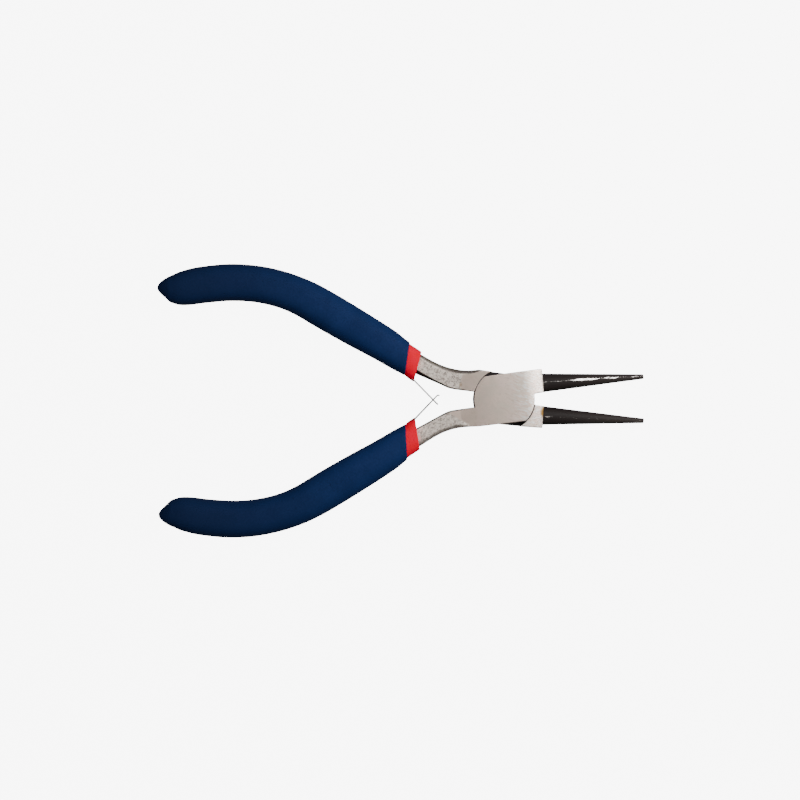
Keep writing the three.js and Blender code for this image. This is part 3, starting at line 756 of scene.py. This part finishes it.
def dipTree(name, dip):
    tree = bpy.data.node_groups.new(name, "GeometryNodeTree")
    graph = Graph(tree)
    tree.interface.new_socket(name="Geometry", in_out="OUTPUT", socket_type="NodeSocketGeometry")
    sizes = ("Front Distance", "Front Skew", "Front Outer", "Front Inner", "Rim Radius")
    sizes += ("Close From", "Close To", "Wave Height", "Wave Size")
    for label in sizes:
        tree.interface.new_socket(name=label, in_out="INPUT", socket_type="NodeSocketFloat")
    for label in ("Rings", "Sides", "Seed"):
        tree.interface.new_socket(name=label, in_out="INPUT", socket_type="NodeSocketInt")
    tree.interface.new_socket(name="Turn", in_out="INPUT", socket_type="NodeSocketRotation")
    tree.interface.new_socket(name="Material", in_out="INPUT", socket_type="NodeSocketMaterial")
    given = graph.add("NodeGroupInput")
    skew, rim = given.out("Front Skew"), given.out("Rim Radius")
    closeFrom, closeTo = given.out("Close From"), given.out("Close To")

    counts = {"Vertices X": given.out("Rings"), "Vertices Y": given.out("Sides") + 1}
    grid = graph.add("GeometryNodeMeshGrid", {}, {"Size X": 1.0, "Size Y": 1.0, **counts})
    spot = graph.add("GeometryNodeInputPosition")
    parts = graph.add("ShaderNodeSeparateXYZ", {}, {"Vector": spot})
    ring = (parts.out("X") + 0.5) * (given.out("Rings") - 1)
    angle = (parts.out("Y") + 0.5) * math.tau

    c, s = graph.maths("COSINE", angle), graph.maths("SINE", angle)
    corner = dipMesh["corner"]
    reach = graph.maths("ABSOLUTE", c) ** corner + graph.maths("ABSOLUTE", s) ** corner
    reach = reach ** (-1 / corner)  # an oval between an ellipse and a box
    across, up = c * reach, s * reach

    rimRings = dipMesh["rimRings"]
    phi = graph.span((ring - 1) / rimRings, 0, 1, 0, math.pi / 2, kind="LINEAR")
    along = graph.span(ring, rimRings + 1, given.out("Rings") - 1, 0, math.pi / 2, kind="LINEAR")
    inset = rim * (1 - graph.maths("SINE", phi))
    opened = graph.maths("GREATER_THAN", ring, 0.5)  # the first ring is the middle of the front face
    towards = graph.maths("GREATER_THAN", across, 0.0)
    frontWidth = given.out("Front Inner") * towards + given.out("Front Outer") * (1 - towards)
    startOffset = across * (frontWidth - inset) * opened
    start = given.out("Front Distance") - startOffset * skew + rim * (1 - graph.maths("COSINE", phi))
    distance = start + (closeTo - start) * graph.maths("SINE", along)

    rows = dip["rows"]
    place = graph.span(distance, rows[0][0], rows[-1][0], kind="LINEAR")
    closing = graph.span(distance, closeFrom, closeTo, kind="LINEAR")
    closing = graph.maths("SQRT", graph.maths("MAXIMUM", 1 - closing * closing, 0.0)) * opened
    curves = [{"curve": widthCurve(rows, column)} for column in (1, 2, 3)]
    width = [graph.add("ShaderNodeFloatCurve", curve, {"Value": place}) for curve in curves]
    outer, inner, thick = [w * dipMesh["widest"] - inset for w in width]
    offset = across * (inner * towards + outer * (1 - towards)) * closing
    height = up * thick * closing

    slope, bend = math.radians(handle["slope"]), math.radians(handle["bendDegrees"])
    straight, radius = handle["straight"], handle["bendRadius"]
    turned = graph.maths("MAXIMUM", graph.maths("MINIMUM", (distance - straight) / radius, bend), 0.0)
    tail = graph.maths("MAXIMUM", distance - straight - radius * bend, 0.0)
    before = graph.maths("MINIMUM", distance, straight)
    heading = slope - turned
    headingCos, headingSin = graph.maths("COSINE", heading), graph.maths("SINE", heading)
    x = handle["x"] - before * math.cos(slope) - radius * (math.sin(slope) - headingSin)
    x = x - tail * headingCos - offset * headingSin
    y = handle["y"] - before * math.sin(slope) - radius * (headingCos - math.cos(slope))
    y = y - tail * headingSin + offset * headingCos

    point = graph.add("ShaderNodeCombineXYZ", {}, {"X": x, "Y": y, "Z": height})
    skin = graph.add("GeometryNodeSetPosition", {}, {"Geometry": grid, "Position": point})
    skin = graph.add("GeometryNodeMergeByDistance", {}, {"Geometry": skin, "Distance": 0.004})
    waves = {"Scale": given.out("Wave Size"), "Detail": 2.0, "W": given.out("Seed")}
    wave = graph.add("ShaderNodeTexNoise", {"noise_dimensions": "4D"}, {"Vector": spot, **waves})
    lift = given.out("Wave Height") * (wave - 0.5)
    normal = graph.add("GeometryNodeInputNormal")
    push = graph.add("ShaderNodeVectorMath", {"operation": "SCALE"}, {0: normal, "Scale": lift})
    skin = graph.add("GeometryNodeSetPosition", {}, {"Geometry": skin, "Offset": push})
    mm = tool["mm"]
    moved = {"Translation": (0, 0, tool["middle"]), "Rotation": given.out("Turn"), "Scale": (mm, mm, mm)}
    skin = graph.add("GeometryNodeTransform", {}, {"Geometry": skin, **moved})
    skin = graph.add("GeometryNodeSetShadeSmooth", {}, {"Geometry": skin})
    skin = graph.add("GeometryNodeRealizeInstances", {}, {"Geometry": skin})
    skin = graph.add("GeometryNodeSetMaterial", {}, {"Geometry": skin, "Material": given.out("Material")})
    graph.add("NodeGroupOutput", {}, {"Geometry": skin})
    return tree


def makeDip(tree, colour, side, material):
    dip = dips[colour]
    endX, lean = dip["ends"][side]
    slope, lean = math.radians(handle["slope"]), math.radians(lean)
    turn = math.radians(tool["openDegrees"])
    front = (handle["x"] - endX) * math.cos(lean) / math.cos(slope - lean)
    distances, outer, inner, _ = zip(*dip["rows"])
    values = {
        "Front Distance": front,
        "Front Skew": math.tan(slope - lean),
        "Front Outer": float(np.interp(front, distances, outer)),
        "Front Inner": float(np.interp(front, distances, inner)),
        "Rim Radius": dip["rim"],
        "Close From": dip["closeFrom"],
        "Close To": dip["closeTo"],
        "Wave Height": dip["wave"],
        "Wave Size": 0.16,
        "Rings": dipMesh["rings"],
        "Sides": dipMesh["sides"],
        "Seed": 3 if side == "front" else 11,
        "Turn": (0, 0, turn) if side == "front" else (math.pi, 0, -turn),
        "Material": material,
    }
    holder = meshObject("holder", [], [])
    modifier = holder.modifiers.new("dip", "NODES")
    modifier.node_group = tree
    for item in tree.interface.items_tree:
        if item.in_out == "INPUT":
            modifier[item.identifier] = values[item.name]
    return bakedCopy(holder, side + colour.capitalize() + "Dip")


def bakedCopy(holder, name):  # a modified object's result as a plain mesh
    graph = bpy.context.evaluated_depsgraph_get()
    mesh = bpy.data.meshes.new_from_object(holder.evaluated_get(graph))
    mesh.name = name
    made = bpy.data.objects.new(name, mesh)
    bpy.context.scene.collection.objects.link(made)
    old = holder.data
    bpy.data.objects.remove(holder)
    bpy.data.meshes.remove(old)
    outwards(mesh)
    return made


def outwards(mesh):  # one closed skin with its faces turned out
    shell = bmesh.new()
    shell.from_mesh(mesh)
    bmesh.ops.recalc_face_normals(shell, faces=shell.faces)
    shell.to_mesh(mesh)
    shell.free()


dipTrees = {colour: dipTree(colour + "DipAlongHandle", dips[colour]) for colour in dips}
for side in ("front", "rear"):
    finishes = {"blue": blueVinyl(side), "red": redVinyl()}
    for colour, tree in dipTrees.items():
        made = makeDip(tree, colour, side, finishes[colour])
        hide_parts(side + dips[colour]["node"])
        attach(made, side)
        print("dip", made.name, len(made.data.polygons), "faces")


leaf = {
    "thickness": 0.34,
    "width": 4.0,
    "exit": (-23.0, -1.72),
    "slope": 38.6,
    "root": 8.6,
    "pad": 6.4,
    "padSlope": 23.0,
    "length": 8.2,
    "edge": 0.04,
}
slotted = {"from": 5.9, "to": 7.7, "width": 2.3}
tongued = {"neck": 5.2, "start": 5.7, "width": 1.6, "straight": 7.9, "curlRadius": 0.42, "curlDegrees": 100}
flexSpan = {"from": -0.3, "to": 4.6}  # where along the blade it would bend; only its ends are worked out, and nothing bends the blade


def leafPath(distance, curl):  # a place along the leaf, from its exit, and the direction there
    slope, padSlope = math.radians(leaf["slope"]), math.radians(leaf["padSlope"])
    x, y = leaf["exit"]
    straight = min(max(distance, -leaf["root"]), tongued["straight"] if curl else 99)
    x += straight * math.cos(slope)
    y += straight * math.sin(slope)
    heading = slope
    if distance < -leaf["root"]:
        heading = padSlope
        x += (distance + leaf["root"]) * math.cos(padSlope)
        y += (distance + leaf["root"]) * math.sin(padSlope)
    elif curl and distance > tongued["straight"]:
        radius = tongued["curlRadius"]
        turned = (distance - tongued["straight"]) / radius
        heading = slope - turned
        x += radius * (math.sin(slope) - math.sin(heading))
        y -= radius * (math.cos(slope) - math.cos(heading))
    return x, y, heading


def leafStrip(side):
    curl = side == "front"
    curlLength = math.radians(tongued["curlDegrees"]) * tongued["curlRadius"]
    end = tongued["straight"] + curlLength if curl else leaf["length"]
    stops = {-leaf["root"] - leaf["pad"], -leaf["root"] - 3, -leaf["root"], end}
    stops |= set(np.arange(-6, 5, 0.5)) | {tongued["neck"], tongued["start"]}
    stops |= {slotted["from"], slotted["to"]}
    if curl:
        stops |= set(np.linspace(tongued["straight"], end, 9))
    stops = sorted(stops)
    half = leaf["width"] / 2
    window = slotted["width"] / 2
    points, faces = [], []
    for distance in stops:
        x, y, heading = leafPath(distance, curl)
        if curl:
            narrow = min(max((distance - tongued["neck"]) / (tongued["start"] - tongued["neck"]), 0), 1)
            wide = half + (tongued["width"] / 2 - half) * narrow
            heights = [-wide, -wide / 3, wide / 3, wide]
        else:
            heights = [-half, -window, window, half]
        for lift in (-0.5, 0.5):
            off = leaf["thickness"] * lift
            for z in heights:
                points.append((x - off * math.sin(heading), y + off * math.cos(heading), z))
    last = len(stops) - 1

    def solid(i, j):  # whether the strip has metal between stops i and i + 1, and heights j and j + 1
        if not (0 <= i < last and 0 <= j < 3):
            return False
        middle = (stops[i] + stops[i + 1]) / 2
        return curl or j != 1 or not slotted["from"] < middle < slotted["to"]

    for i in range(last):
        for j in range(3):
            if not solid(i, j):
                continue
            low = [i * 8 + j, i * 8 + j + 1, i * 8 + j + 9, i * 8 + j + 8]
            high = [k + 4 for k in low]
            faces += [low, high[::-1]]
            near = [(0, 1, i - 1, j), (1, 2, i, j + 1), (2, 3, i + 1, j), (3, 0, i, j - 1)]
            for a, b, nextI, nextJ in near:
                if not solid(nextI, nextJ):
                    faces.append([low[b], low[a], high[a], high[b]])
    strip = meshObject("strip", inPlace(points, side), faces, smooth=False)
    outwards(strip.data)
    bevel = strip.modifiers.new("edges", "BEVEL")
    bevel.width = leaf["edge"] * tool["mm"]
    bevel.segments = 2
    bevel.limit_method = "ANGLE"
    bevel.angle_limit = math.radians(40)
    made = bakedCopy(strip, side + "Leaf")
    made.data.polygons.foreach_set("use_smooth", [True] * len(made.data.polygons))
    made.data.set_sharp_from_angle(angle=math.radians(45))
    return made


def turnedPin(name, profile, sides=96):  # a turned piece on the pivot axis from (radius, height) pairs
    points, faces = [], []
    for radius, z in profile:
        for k in range(sides):
            a = math.tau * k / sides
            points.append((radius * math.cos(a), radius * math.sin(a), z))
    for r in range(len(profile) - 1):
        for k in range(sides):
            n = (k + 1) % sides
            faces.append([r * sides + k, r * sides + n, (r + 1) * sides + n, (r + 1) * sides + k])
    faces.append(list(range(sides))[::-1])
    faces.append([(len(profile) - 1) * sides + k for k in range(sides)])
    made = meshObject(name, inPlace(points, "front"), faces)
    outwards(made.data)
    made.data.set_sharp_from_angle(angle=math.radians(30))
    return made


# the springs' darker colour near the middle line between the handles is painted shade
springSteel = plainSteel("springSteel", (0.36, 0.35, 0.335), 0.34, middleShadeColour=(0.06, 0.057, 0.055))
rivetSteel = plainSteel("rivetSteel", (0.60, 0.55, 0.51), 0.34)
for side in ("front", "rear"):
    made = leafStrip(side)
    made.data.materials.append(springSteel)
    ends = [inPlace([(*leafPath(flexSpan[k], False)[:2], 0)], side)[0] for k in ("from", "to")]
    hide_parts(side + "_spring_root", side + "_spring_blade")
    tuple(ends[0])
    tuple(ends[1])
    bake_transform(made)
    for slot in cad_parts[side + "_spring_rivet"].material_slots:
        slot.material = rivetSteel

top = joint["halfThickness"] + pivot["proud"]
headRadius = pivot["head"] + pivot["cover"]
halfProfile = [(headRadius, top), (headRadius, top - 0.004), (pivot["head"] - 0.1, top - 0.1)]
halfProfile.append((pivot["shank"] - 0.02, 3.0))
rivet = turnedPin("pivotRivet", [(r, -z) for r, z in halfProfile] + halfProfile[::-1])
flat = rivet.data.attributes.new("flat", "FLOAT", "POINT")
flat.data.foreach_set("value", [1.0] * len(rivet.data.vertices))
rivet.data.materials.append(forgedSteel("front"))
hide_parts("pivot_rivet")
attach(rivet, "front")
print("springs and rivets ready")


view = {"x": -26.62, "y": -0.154, "roll": -0.3, "height": 400.0, "frameWidth": 205.76}
lamps = {
    "key": {"place": (0.13, 0.09, 0.21), "size": 0.16, "power": 0.66},
    "fill": {"place": (-0.19, 0.0, 0.42), "size": 0.20, "power": 0.14},
}


studio = {"high": 0.33, "low": 0.06, "floor": 0.25, "floorGlow": 8.0}


def makeCamera():
    data = bpy.data.cameras.new("camera")
    data.sensor_width = 36
    data.lens = data.sensor_width * view["height"] / view["frameWidth"]
    camera = bpy.data.objects.new("camera", data)
    roll = math.radians(view["roll"])
    x = view["x"] * math.cos(roll) - view["y"] * math.sin(roll)
    y = view["x"] * math.sin(roll) + view["y"] * math.cos(roll)
    camera.location = (x * tool["mm"], y * tool["mm"], tool["middle"] + view["height"] * tool["mm"])
    camera.rotation_euler = (0, 0, roll)
    data.clip_start = 0.01
    bpy.context.scene.collection.objects.link(camera)
    bpy.context.scene.camera = camera


def makeLamps():
    target = Vector((-0.02, 0, 0))
    for name, lamp in lamps.items():
        data = bpy.data.lights.new(name, "AREA")
        data.shape = "DISK"
        data.size = lamp["size"]
        data.energy = lamp["power"]
        made = bpy.data.objects.new(name, data)
        made.location = lamp["place"]
        made.rotation_euler = (target - made.location).to_track_quat("-Z", "Y").to_euler()
        bpy.context.scene.collection.objects.link(made)
    world = bpy.data.worlds.new("world")
    world.use_nodes = True
    world.node_tree.nodes.clear()
    graph = Graph(world.node_tree)
    direction = graph.add("ShaderNodeTexCoord").out("Generated")
    height = graph.add("ShaderNodeSeparateXYZ", {}, {"Vector": direction}).out("Z")
    strength = graph.span(height, -0.1, 0.9, studio["low"], studio["high"])
    direct = graph.add("ShaderNodeLightPath").out("Is Camera Ray")
    strength = strength * (1 - direct) + direct * studio["floorGlow"]  # the backdrop continues the floor
    light = graph.add("ShaderNodeBackground", {}, {"Color": (1, 1, 1, 1), "Strength": strength})
    graph.add("ShaderNodeOutputWorld", {}, {"Surface": light})
    bpy.context.scene.world = world


def makeFloor():
    half = 3.0
    level = min(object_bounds()[0].z, 0) - 0.0001
    corners = [(-half, -half, level), (half, -half, level), (half, half, level), (-half, half, level)]
    floor = meshObject("floor", corners, [(0, 1, 2, 3)], smooth=False)
    material, graph = newMaterial("litTable")
    direct = graph.add("ShaderNodeLightPath").out("Is Camera Ray")
    glow = graph.mixColour(direct, (0.0, 0.0, 0.0), (1.0, 1.0, 1.0))
    sockets = {"Base Color": (studio["floor"],) * 3 + (1,), "Roughness": 0.8, "Emission Color": glow}
    finishSurface(graph, {**sockets, "Emission Strength": studio["floorGlow"]})
    floor.data.materials.append(material)


makeCamera()
makeLamps()
makeFloor()
print("stage ready")
